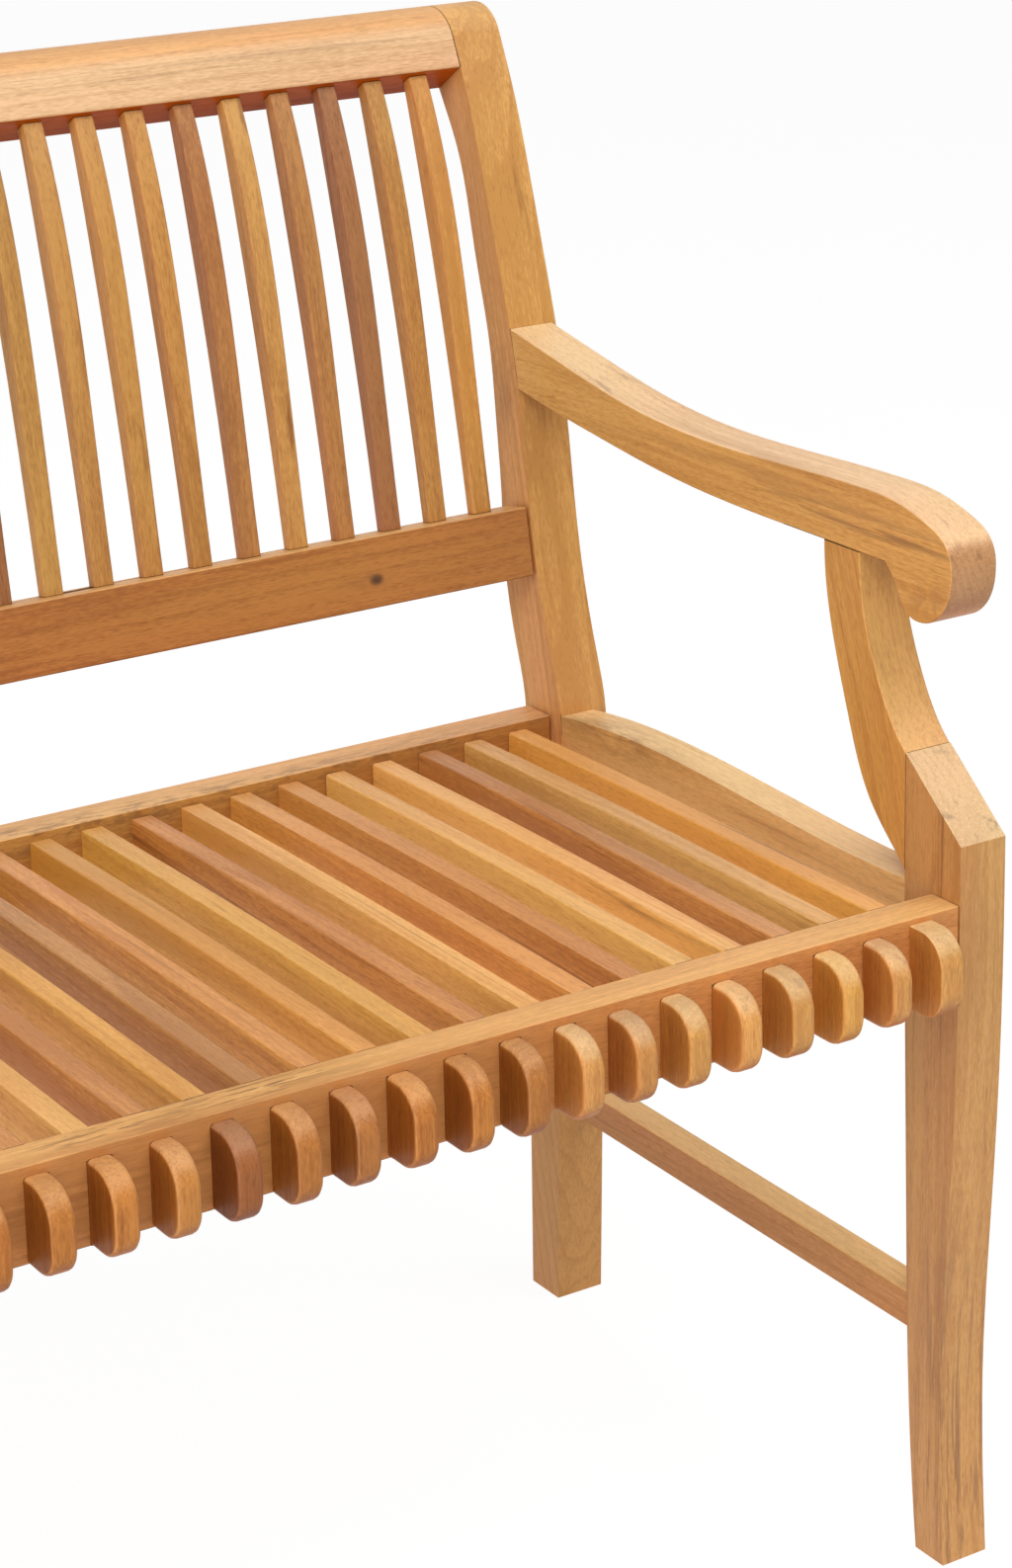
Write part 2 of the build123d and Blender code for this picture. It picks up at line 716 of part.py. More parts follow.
with BuildPart() as front_seat_rail:
    with BuildSketch(side_view(-inner_face)):
        with Locations((front_rail_middle, rail_middle)):
            Rectangle(front_rail_thickness, rail_height)
    extrude(amount=seat_width)
    tenons(front_rail_tenons, rail_tenon_size)
    tenons(front_slat_tenons, seat_slat_tenon_size, Mode.SUBTRACT)
    rods(block_dowel_places, dowel_radius, dowel_length, Mode.SUBTRACT)
save(front_seat_rail, "front_seat_rail")

# Rows of slats and blocks

with BuildPart() as back_slats:
    with BuildSketch(*(side_view(x) for x in back_slat_places)):
        add(back_slat_outline.sketch)
    extrude(amount=back_slat_width / 2, both=True)
    tenons(back_slat_feet, back_slat_tenon_size)
    tenons(back_slat_tops, back_slat_tenon_size)
save(back_slats, "back_slats")

with BuildPart() as front_rail_blocks:
    with BuildSketch(*(side_view(x) for x in block_places)):
        add(block_outline.sketch)
    extrude(amount=block_width / 2, both=True)
    rods(block_dowel_places, dowel_radius, dowel_length, Mode.SUBTRACT)
save(front_rail_blocks, "front_rail_blocks")

with BuildPart() as block_dowels:
    rods(block_dowel_places, dowel_radius, dowel_length)
save(block_dowels, "block_dowels")

with BuildSketch() as seat_slat_outline:
    with BuildLine():
        level = Line((0, seat_slat_front_top), (seat_slat_level, seat_slat_front_top))
        fall = TangentArc(level @ 1, (seat_slat_run, seat_slat_rear_top), tangent=level % 1)
        Polyline(level @ 0, (0, seat_slat_foot), (seat_slat_run, seat_slat_foot), fall @ 1)
    make_face()

seat_slat_tenons = zip(front_slat_tenons, rear_slat_tenons)
for number, (ends, tenon_pair) in enumerate(zip(seat_slat_ends, seat_slat_tenons), start=1):
    front_x, rear_x = ends
    run = Vector(rear_x - front_x, seat_slat_run, 0)
    start = (front_x, front_rail_rear - depth_middle, 0)
    with BuildPart() as seat_slat:
        with BuildSketch(Plane(origin=start, x_dir=run, z_dir=run.cross(Vector(0, 0, 1)))):
            add(seat_slat_outline.sketch)
        extrude(amount=seat_slat_width / 2, both=True)
        split(bisect_by=Plane(origin=start, z_dir=(0, 1, 0)))
        split(bisect_by=Plane(origin=(0, rear_rail_front - depth_middle, 0), z_dir=(0, -1, 0)))
        tenons(tenon_pair, seat_slat_tenon_size)
    save(seat_slat, f"seat_slat_{number:02d}")
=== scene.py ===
import math
import random

import bmesh
import bpy
from mathutils import Euler, Matrix, Vector
from mathutils.bvhtree import BVHTree


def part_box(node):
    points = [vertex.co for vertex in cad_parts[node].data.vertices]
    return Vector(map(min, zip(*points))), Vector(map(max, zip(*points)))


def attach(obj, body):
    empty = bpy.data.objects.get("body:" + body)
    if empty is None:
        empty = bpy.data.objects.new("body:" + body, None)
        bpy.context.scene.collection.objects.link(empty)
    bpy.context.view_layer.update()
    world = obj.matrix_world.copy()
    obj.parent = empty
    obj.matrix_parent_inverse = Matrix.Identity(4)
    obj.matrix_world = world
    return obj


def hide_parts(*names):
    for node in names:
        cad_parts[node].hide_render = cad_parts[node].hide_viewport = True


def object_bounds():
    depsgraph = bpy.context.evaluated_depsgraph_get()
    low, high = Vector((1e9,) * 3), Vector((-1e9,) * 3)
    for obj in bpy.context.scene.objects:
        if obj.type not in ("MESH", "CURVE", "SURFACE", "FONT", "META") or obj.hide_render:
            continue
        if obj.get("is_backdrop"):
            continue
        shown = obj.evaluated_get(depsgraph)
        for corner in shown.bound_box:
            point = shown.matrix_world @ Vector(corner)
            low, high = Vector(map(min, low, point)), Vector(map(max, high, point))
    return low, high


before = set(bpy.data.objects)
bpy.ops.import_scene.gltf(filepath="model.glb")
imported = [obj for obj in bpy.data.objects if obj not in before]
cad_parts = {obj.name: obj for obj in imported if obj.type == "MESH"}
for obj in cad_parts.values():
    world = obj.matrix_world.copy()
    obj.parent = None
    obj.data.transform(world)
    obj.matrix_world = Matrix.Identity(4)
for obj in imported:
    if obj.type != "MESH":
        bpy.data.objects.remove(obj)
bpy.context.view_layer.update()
print("frame loaded:", len(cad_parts), "nodes")


# Small helpers for nodes and objects

def addNode(tree, kind, place, settings=None, inputs=None):
    node = tree.nodes.new(kind)
    node.location = place
    for name, value in (settings or {}).items():
        setattr(node, name, value)
    for name, value in (inputs or {}).items():
        if isinstance(value, bpy.types.NodeSocket):
            tree.links.new(value, node.inputs[name])
        else:
            node.inputs[name].default_value = value
    return node


def maths(tree, operation, place, first, second=None, third=None):
    inputs = {0: first}
    if second is not None:
        inputs[1] = second
    if third is not None:
        inputs[2] = third
    return addNode(tree, "ShaderNodeMath", place, {"operation": operation}, inputs).outputs[0]


def stretched(tree, place, vector, sides):
    node = addNode(tree, "ShaderNodeVectorMath", place, {"operation": "MULTIPLY"}, {0: vector, 1: sides})
    return node.outputs[0]


def noise(tree, place, vector, detail=2.0, roughness=0.5):
    inputs = {"Vector": vector, "Scale": 1.0, "Detail": detail, "Roughness": roughness}
    return addNode(tree, "ShaderNodeTexNoise", place, None, inputs)


def between(tree, place, value, low, high, toLow=0.0, toHigh=1.0):
    inputs = {"Value": value, "From Min": low, "From Max": high, "To Min": toLow, "To Max": toHigh}
    return addNode(tree, "ShaderNodeMapRange", place, {"interpolation_type": "SMOOTHSTEP"}, inputs).outputs[0]


def mixColour(tree, place, share, first, second, blend="MIX"):
    node = addNode(tree, "ShaderNodeMix", place, {"data_type": "RGBA", "blend_type": blend})
    for socket, value in ((node.inputs[0], share), (node.inputs[6], first), (node.inputs[7], second)):
        if isinstance(value, bpy.types.NodeSocket):
            tree.links.new(value, socket)
        else:
            socket.default_value = value
    return node.outputs[2]


def boxOf(piece):
    low = Vector([min(v.co[i] for v in piece.data.vertices) for i in range(3)])
    high = Vector([max(v.co[i] for v in piece.data.vertices) for i in range(3)])
    return low, high


def deselectAll():
    bpy.ops.object.select_all(action="DESELECT")


def activate(piece):
    deselectAll()
    piece.select_set(True)
    bpy.context.view_layer.objects.active = piece


def applyModifier(piece, kind, **settings):
    activate(piece)
    modifier = piece.modifiers.new(kind.title(), kind)
    for name, value in settings.items():
        setattr(modifier, name, value)
    bpy.ops.object.modifier_apply(modifier=modifier.name)


# Teak: growth rings round a far-off pith, fibres and pores along the grain, broad tones and streaks

grain = {
    "ringsPerMetre": 150,
    "ringFade": ((0.1, 0.7), (0.3, 0.3), (0.6, 0.08), (0.9, 0.0)),  # a ring, outwards
    "ringDrift": 0.03,  # how much the rings close in along the grain
    "ringUneven": 5.0,  # by how many rings their spacing strays
    "faintestRing": 0.15,  # share of its darkness that it keeps
    "wander": 0.022,  # how far the grain wanders sideways, in metres
    "paler": 0.26,  # taken off the sum of what darkens the wood
    "poresOffRings": 0.6,  # share of the pores outside the dark rings
    "roughness": 0.38,
    "fibreRoughness": 0.16,
    "poreRoughness": 0.2,
    "fibreHeight": 0.5,  # against the depth of a pore
    "poreDepth": 0.00025,
    "bump": 0.35,
    "warmPatch": (1.04, 0.93, 0.90),
    "yellowPatch": (1.01, 1.01, 0.94),
}
# Layers of noise: changes per metre along and across the grain, the range that counts, and what it darkens
layers = {
    "bend": {"perMetre": (1.8, 8, 8), "detail": 3},
    "uneven": {"perMetre": (0.8, 24, 24), "detail": 1},
    "patches": {"perMetre": (0.9, 14, 14), "detail": 1, "range": (0.38, 0.68)},
    "fibre": {"perMetre": (6, 420, 420), "detail": 4, "roughness": 0.68, "range": (0.33, 0.72),
              "darkens": 0.60},
    "pore": {"perMetre": (85, 1150, 1150), "detail": 1, "range": (0.56, 0.68)},
    "fleck": {"perMetre": (170, 1000, 1000), "detail": 2, "darkens": 2.1},
    "tone": {"perMetre": (1.3, 17, 17), "detail": 4, "roughness": 0.55, "range": (0.37, 0.64)},
    "streak": {"perMetre": (1.3, 85, 85), "detail": 3, "roughness": 0.6, "range": (0.60, 0.74)},
    "line": {"perMetre": (2.4, 240, 240), "detail": 3, "roughness": 0.6, "range": (0.55, 0.74),
             "darkens": 0.5},
    "mottle": {"perMetre": (28, 42, 42), "detail": 4, "roughness": 0.6},
    "hue": {"perMetre": (1.6, 11, 11), "detail": 2, "range": (0.35, 0.65)},
}


def layerNoise(tree, name, place, vector):
    layer = layers[name]
    spread = stretched(tree, (place[0] - 200, place[1]), vector, layer["perMetre"])
    return noise(tree, place, spread, layer["detail"], layer.get("roughness", 0.5))


def layerShare(tree, name, place, value, toLow=0.0, toHigh=1.0):
    low, high = layers[name]["range"]
    return between(tree, (place[0] + 200, place[1]), value, low, high, toLow, toHigh)


def makeTeakGroup():
    tree = bpy.data.node_groups.new("teakGrain", "ShaderNodeTree")
    for name, kind, value in (
        ("Vector", "NodeSocketVector", (0, 0, 0)),
        ("Light", "NodeSocketColor", (0.7, 0.4, 0.17, 1)),
        ("Dark", "NodeSocketColor", (0.45, 0.22, 0.08, 1)),
        ("Streak", "NodeSocketColor", (0.2, 0.09, 0.035, 1)),
        ("Tones", "NodeSocketFloat", 0.75),
        ("Rings", "NodeSocketFloat", 0.65),
        ("Streaks", "NodeSocketFloat", 0.5),
        ("Pores", "NodeSocketFloat", 0.34),
        ("Mottle", "NodeSocketFloat", 0.25),
    ):
        socket = tree.interface.new_socket(name, in_out="INPUT", socket_type=kind)
        socket.default_value = value
    tree.interface.new_socket("Color", in_out="OUTPUT", socket_type="NodeSocketColor")
    tree.interface.new_socket("Roughness", in_out="OUTPUT", socket_type="NodeSocketFloat")
    tree.interface.new_socket("Height", in_out="OUTPUT", socket_type="NodeSocketFloat")
    given = addNode(tree, "NodeGroupInput", (-1800, 0)).outputs

    # the grain wanders sideways as it runs along the piece
    bend = layerNoise(tree, "bend", (-1400, 300), given["Vector"])
    centred = addNode(tree, "ShaderNodeVectorMath", (-1200, 300), {"operation": "SUBTRACT"},
                      {0: bend.outputs["Color"], 1: (0.5, 0.5, 0.5)})
    sideways = stretched(tree, (-1000, 300), centred.outputs[0], (0, grain["wander"], grain["wander"]))
    along = addNode(tree, "ShaderNodeVectorMath", (-800, 200), {"operation": "ADD"},
                    {0: given["Vector"], 1: sideways}).outputs[0]

    def layer(name, place, vector=along):
        return layerNoise(tree, name, place, vector).outputs[0]

    # rings: a crisp dark start that fades, stronger in some patches than in others
    radial = addNode(tree, "ShaderNodeVectorMath", (-400, 400), {"operation": "LENGTH"},
                     {0: stretched(tree, (-600, 400), along, (grain["ringDrift"], 1, 1))}).outputs["Value"]
    strays = maths(tree, "MULTIPLY", (-200, 560), layer("uneven", (-400, 560)), grain["ringUneven"])
    age = maths(tree, "MULTIPLY_ADD", (-200, 400), radial, grain["ringsPerMetre"], strays)
    ringShade = addNode(tree, "ShaderNodeValToRGB", (150, 400), None,
                        {"Fac": maths(tree, "FRACT", (0, 400), age)})
    stops = ringShade.color_ramp.elements
    stops[0].position, stops[0].color = 0.0, (1, 1, 1, 1)
    stops[1].position, stops[1].color = 1.0, (1, 1, 1, 1)
    for position, value in grain["ringFade"]:
        stops.new(position).color = (value, value, value, 1)
    clear = layerShare(tree, "patches", (0, 600), layer("patches", (0, 600)), grain["faintestRing"])
    ring = maths(tree, "MULTIPLY", (450, 400), ringShade.outputs["Color"], clear)

    fibre = layer("fibre", (-400, 0))
    pore = layerShare(tree, "pore", (-400, -200), layer("pore", (-400, -200)))
    fleck = maths(tree, "SUBTRACT", (-200, -300), layer("fleck", (-400, -300), given["Vector"]), 0.5)
    tone = layerShare(tree, "tone", (-400, -400), layer("tone", (-400, -400)))
    streak = layerShare(tree, "streak", (-400, -600), layer("streak", (-400, -600)))
    line = layerShare(tree, "line", (-400, -700), layer("line", (-400, -700)))
    mottle = maths(tree, "SUBTRACT", (0, -800), layer("mottle", (-400, -800)), 0.5)

    # everything that darkens the wood adds up
    darkness = maths(tree, "MULTIPLY", (100, -400), tone, given["Tones"])
    for place, value, weight in (
        ((300, -300), ring, given["Rings"]),
        ((450, -200), layerShare(tree, "fibre", (-200, 0), fibre), layers["fibre"]["darkens"]),
        ((520, -200), fleck, layers["fleck"]["darkens"]),
        ((540, -200), line, layers["line"]["darkens"]),
        ((600, -200), mottle, given["Mottle"]),
    ):
        darkness = maths(tree, "MULTIPLY_ADD", place, value, weight, darkness)
    darkness = maths(tree, "SUBTRACT", (680, -200), darkness, grain["paler"])
    clamped = addNode(tree, "ShaderNodeClamp", (750, -200), None, {"Value": darkness}).outputs[0]
    wood = mixColour(tree, (900, 0), clamped, given["Light"], given["Dark"])

    # warmer and yellower patches, then streaks and pores
    hue = layerShare(tree, "hue", (600, -900), layer("hue", (600, -900)))
    warm = mixColour(tree, (900, -900), hue, grain["warmPatch"] + (1,), grain["yellowPatch"] + (1,))
    wood = mixColour(tree, (1000, 0), 1.0, wood, warm, "MULTIPLY")
    wood = mixColour(tree, (1100, 0), maths(tree, "MULTIPLY", (900, -400), streak, given["Streaks"]),
                     wood, given["Streak"])
    least = grain["poresOffRings"]
    inRings = maths(tree, "MULTIPLY_ADD", (750, -550), ring, 1 - least, least)
    pores = maths(tree, "MULTIPLY", (900, -550), pore, inRings)
    wood = mixColour(tree, (1250, 0), maths(tree, "MULTIPLY", (1050, -550), pores, given["Pores"]),
                     wood, given["Streak"])
    rough = maths(tree, "MULTIPLY_ADD", (1200, -300), fibre, grain["fibreRoughness"], grain["roughness"])
    rough = maths(tree, "MULTIPLY_ADD", (1350, -300), pores, grain["poreRoughness"], rough)
    height = maths(tree, "MULTIPLY_ADD", (1200, -500), pores, -1.0,
                   maths(tree, "MULTIPLY", (1050, -700), fibre, grain["fibreHeight"]))
    addNode(tree, "NodeGroupOutput", (1550, 0), None, {"Color": wood, "Roughness": rough, "Height": height})
    return tree


teakGroup = makeTeakGroup()

# Light and dark wood of each tone, in linear colour
teakTones = {
    "straw": ((0.860, 0.490, 0.165), (0.690, 0.345, 0.098)),
    "peach": ((0.800, 0.430, 0.155), (0.640, 0.310, 0.100)),
    "golden": ((0.790, 0.410, 0.105), (0.620, 0.285, 0.062)),
    "honey": ((0.740, 0.360, 0.105), (0.560, 0.240, 0.064)),
    "amber": ((0.640, 0.290, 0.083), (0.460, 0.182, 0.050)),
    "tan": ((0.600, 0.285, 0.095), (0.430, 0.180, 0.056)),
    "khaki": ((0.550, 0.270, 0.080), (0.395, 0.165, 0.046)),
    "brown": ((0.500, 0.215, 0.075), (0.345, 0.130, 0.045)),
    "dark": ((0.370, 0.150, 0.060), (0.235, 0.085, 0.033)),
}

grainTurns = {"x": (0, 0, 0), "y": (0, 0, -90), "z": (0, 90, 0)}  # turns the grain's axis to X
streakTint = (0.52, 0.40, 0.34)  # streaks and pores against the dark wood
sheen = 0.30  # specular level of oiled wood
# a painted sheen that pales faces which look up, standing in for the lamps' reflection
bleach = {"colour": (0.10, 0.10, 0.065), "range": (0.25, 0.95)}  # how much paler a face that looks up is
# Painted light and shade by the way a face looks: how far a face must look one way before its tint starts and
# is full, and the tint where a piece names none
facingLight = {
    "top": {"axis": "Z", "range": (0.45, 0.9), "tint": (1, 1, 1)},
    "under": {"axis": "Z", "range": (-0.3, -0.7), "tint": (0.70, 0.55, 0.45)},
    "face": {"axis": "Y", "range": (-0.6, -0.95), "tint": (1, 1, 1)},
    "side": {"axis": "X", "range": (0.75, 0.97), "tint": (1.04, 1.0, 0.86)},
}


def paintLightByFacing(tree, place, colour, normal, settings):
    # painted light and shade: tops get a painted sheen, and tops, undersides, fronts and sides each a tint
    # for how light falls on them, undersides darker where a piece names none
    sides = addNode(tree, "ShaderNodeSeparateXYZ", place, None, {0: normal}).outputs
    sheenShare = between(tree, place, sides["Z"], *bleach["range"])
    withPaintedSheen = mixColour(tree, place, 1.0, colour, bleach["colour"] + (1,), "SCREEN")
    colour = mixColour(tree, place, maths(tree, "MULTIPLY", place, sheenShare, settings.get("bleach", 1.0)),
                       colour, withPaintedSheen)
    looks = {"X": maths(tree, "ABSOLUTE", place, sides["X"]), "Y": sides["Y"], "Z": sides["Z"]}
    for name, way in facingLight.items():
        share = between(tree, place, looks[way["axis"]], *way["range"])
        tinted = mixColour(tree, place, 1.0, colour, settings.get(name, way["tint"]) + (1,), "MULTIPLY")
        colour = mixColour(tree, place, share, colour, tinted)
    return colour


def addMark(tree, place, vector, colour, mark):
    # a stain, knot or scrape, or a patch of painted light or shade: a soft blot of another colour at one
    # place on the piece
    offset = addNode(tree, "ShaderNodeVectorMath", place, {"operation": "SUBTRACT"},
                     {0: vector, 1: mark["place"]})
    scaled = addNode(tree, "ShaderNodeVectorMath", place, {"operation": "DIVIDE"},
                     {0: offset.outputs[0], 1: mark["size"]})
    reach = addNode(tree, "ShaderNodeVectorMath", place, {"operation": "LENGTH"},
                    {0: scaled.outputs[0]}).outputs["Value"]
    blot = between(tree, place, reach, 1.0, mark.get("core", 0.0))
    perMetre = mark.get("speckle", (60, 400, 400))
    speckle = noise(tree, place, stretched(tree, place, vector, perMetre), 3, 0.7).outputs[0]
    low, high = mark.get("spread", (0.35, 0.65))
    share = maths(tree, "MULTIPLY", place, blot, between(tree, place, speckle, low, high))
    share = maths(tree, "MULTIPLY", place, share, mark["strength"])
    return mixColour(tree, place, share, colour, mark["colour"] + (1,))


# How much one piece of wood differs from the next
variety = {
    "shade": 0.03,
    "warmth": 0.015,
    "pith": (0.07, 0.16),  # how far off the middle of the tree was, in metres
    "along": 4,  # and how far up the tree, in metres
    "palest": 0.95,  # no wood is paler
}


def makeTeak(name, seed, settings, middle):
    draw = random.Random(seed)
    light, dark = teakTones[settings.get("tone", "honey")]
    shade = settings.get("shade", 1.0) * draw.uniform(1 - variety["shade"], 1 + variety["shade"])
    warmth = draw.uniform(-variety["warmth"], variety["warmth"])
    tint = (1 + warmth, 1, 1 - 2 * warmth)
    light = [min(variety["palest"], c * shade * t) for c, t in zip(light, tint)] + [1]
    dark = [min(variety["palest"], c * shade * t) for c, t in zip(dark, tint)] + [1]
    turn = [math.radians(a) for a in grainTurns[settings["grain"]]]
    turn[0] += math.radians(settings.get("lean", 0))
    pithAngle = math.radians(draw.uniform(0, 360))
    pithDistance = draw.uniform(*variety["pith"])
    pithDistance = settings.get("pith", pithDistance)
    pith = Vector((
        draw.uniform(-variety["along"], variety["along"]),
        pithDistance * math.cos(pithAngle),
        pithDistance * math.sin(pithAngle),
    ))
    place = pith - Euler(turn).to_matrix() @ middle
    material = bpy.data.materials.new(name + "Teak")
    material.use_nodes = True
    tree = material.node_tree
    shader = tree.nodes["Principled BSDF"]
    shader.location = (500, 0)
    shader.inputs["Specular IOR Level"].default_value = settings.get("sheen", sheen)
    coordinates = addNode(tree, "ShaderNodeTexCoord", (-700, 0))
    mapped = addNode(tree, "ShaderNodeMapping", (-500, 0), None, {
        "Vector": coordinates.outputs["Object"], "Location": place, "Rotation": turn})
    teak = addNode(tree, "ShaderNodeGroup", (-200, 0), {"node_tree": teakGroup}, {
        "Vector": mapped.outputs[0], "Light": light, "Dark": dark,
        "Streak": [c * t for c, t in zip(dark, streakTint)] + [1]})
    for socket in ("Tones", "Rings", "Streaks", "Pores", "Mottle"):
        if socket.lower() in settings:
            teak.inputs[socket].default_value = settings[socket.lower()]
    colour = paintLightByFacing(tree, (150, 500), teak.outputs["Color"], coordinates.outputs["Normal"], settings)
    for number, mark in enumerate(settings.get("marks", ())):
        colour = addMark(tree, (0, 300 * (number + 1)), coordinates.outputs["Object"], colour, mark)
    bump = addNode(tree, "ShaderNodeBump", (250, -250), None, {
        "Height": teak.outputs["Height"], "Strength": grain["bump"], "Distance": grain["poreDepth"]})
    tree.links.new(colour, shader.inputs["Base Color"])
    tree.links.new(teak.outputs["Roughness"], shader.inputs["Roughness"])
    tree.links.new(bump.outputs["Normal"], shader.inputs["Normal"])
    return material


# Eased edges: each piece is a copy of its solid, merged, with small rounds where the wood is open

nodeTrees = {}
nodeBoxes = {}
for nodeName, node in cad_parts.items():
    corners = [v.co for v in node.data.vertices]
    faces = [tuple(p.vertices) for p in node.data.polygons]
    nodeTrees[nodeName] = BVHTree.FromPolygons(corners, faces)
    nodeBoxes[nodeName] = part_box(nodeName)

easing = {
    "joint": 0.0005,  # fine groove where two pieces meet
    "touch": 0.00035,  # an edge this near a neighbour belongs to a joint
    "feeler": 0.0003,  # how far from an edge to feel for what covers it
    "sharp": math.radians(24),  # an edge that turns more than this is rounded
    "flat": math.radians(0.2),  # faces that differ by less are one face
    "same": 0.00001,  # corners this near are one corner
    "near": 0.001,  # neighbours this near are felt for
    "grooveWidth": 0.9,  # a face narrower than this share of the groove lies in it
    "grooveReach": 1.6,  # and is no further than this many grooves from a neighbour
    "smoothing": 60,  # how much the larger faces count in the normals
}


def neighboursOf(names, low, high):
    margin = Vector((easing["near"],) * 3)
    found = []
    for other, (otherLow, otherHigh) in nodeBoxes.items():
        apart = any(otherLow[i] > (high + margin)[i] or otherHigh[i] < (low - margin)[i] for i in range(3))
        if other not in names and not apart:
            found.append(nodeTrees[other])
    return found


def inside(tree, point):
    nearest, normal, _, _ = tree.find_nearest(point)
    return (point - nearest).dot(normal) < 0


def isCovered(edge, face, near):
    # true where a neighbour lies against the face beside this edge
    middle = (edge.verts[0].co + edge.verts[1].co) / 2
    runs = edge.verts[1].co - edge.verts[0].co
    inward = face.normal.cross(runs).normalized()
    if inward.dot(face.calc_center_median() - middle) < 0:
        inward = -inward
    point = middle + (face.normal + inward) * easing["feeler"]
    return any(inside(tree, point) for tree in near)


def weighEdges(piece, names, openWidth, jointWidth):
    near = neighboursOf(names, *boxOf(piece))
    form = bmesh.new()
    form.from_mesh(piece.data)
    kept = form.edges.layers.float
    weight = kept.get("bevel_weight_edge") or kept.new("bevel_weight_edge")
    for edge in form.edges:
        if len(edge.link_faces) == 2 and edge.is_convex and edge.calc_face_angle() > easing["sharp"]:
            middle = (edge.verts[0].co + edge.verts[1].co) / 2
            touching = any(tree.find_nearest(middle, easing["touch"])[0] for tree in near)
            if not touching:
                edge[weight] = 1.0
            elif not all(isCovered(edge, face, near) for face in edge.link_faces):
                edge[weight] = jointWidth / openWidth
    form.to_mesh(piece.data)
    form.free()


# a dark material that paints the shadow in the groove where two pieces meet
def makeJointShade():
    material = bpy.data.materials.new("jointShade")
    material.use_nodes = True
    shader = material.node_tree.nodes["Principled BSDF"]
    shader.inputs["Base Color"].default_value = (0.15, 0.065, 0.025, 1)
    shader.inputs["Roughness"].default_value = 0.9
    shader.inputs["Specular IOR Level"].default_value = 0.1
    return material


jointShade = makeJointShade()


def shadeJoints(piece, names, jointWidth):
    # the narrow faces in the groove between two pieces take the dark material, a painted shadow in the gap
    mesh = piece.data
    mesh.materials.append(jointShade)
    near = neighboursOf(names, *boxOf(piece))
    for face in mesh.polygons:
        corners = [mesh.vertices[i].co for i in face.vertices]
        longest = max((a - b).length for a, b in zip(corners, corners[1:] + corners[:1]))
        narrow = face.area < longest * jointWidth * easing["grooveWidth"]
        reach = jointWidth * easing["grooveReach"]
        if narrow and any(tree.find_nearest(face.center, reach)[0] for tree in near):
            face.material_index = 1


def mergeMesh(piece):
    activate(piece)
    bpy.ops.object.mode_set(mode="EDIT")
    bpy.ops.mesh.select_all(action="SELECT")
    bpy.ops.mesh.remove_doubles(threshold=easing["same"])
    bpy.ops.mesh.dissolve_limited(angle_limit=easing["flat"])
    bpy.ops.object.mode_set(mode="OBJECT")


def easeEdges(piece, names, openWidth, segments=3, jointWidth=easing["joint"]):
    weighEdges(piece, names, openWidth, jointWidth)
    applyModifier(piece, "BEVEL", width=openWidth, segments=segments, limit_method="WEIGHT",
                  offset_type="OFFSET", use_clamp_overlap=True, miter_outer="MITER_ARC")
    activate(piece)
    bpy.ops.object.shade_smooth()
    applyModifier(piece, "WEIGHTED_NORMAL", mode="FACE_AREA", weight=easing["smoothing"], keep_sharp=False)


def copyNode(nodeName, pieceName):
    piece = bpy.data.objects.new(pieceName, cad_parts[nodeName].data.copy())
    bpy.context.scene.collection.objects.link(piece)
    piece.data.materials.clear()
    mergeMesh(piece)
    return piece


def middleOf(piece):
    low, high = boxOf(piece)
    return (low + high) / 2


def finishPiece(piece, nodeName, seed, settings):
    piece.data.materials.append(makeTeak(piece.name, seed, settings, middleOf(piece)))
    shadeJoints(piece, {nodeName}, settings.get("joint", easing["joint"]))
    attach(piece, "root")
    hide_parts(nodeName)
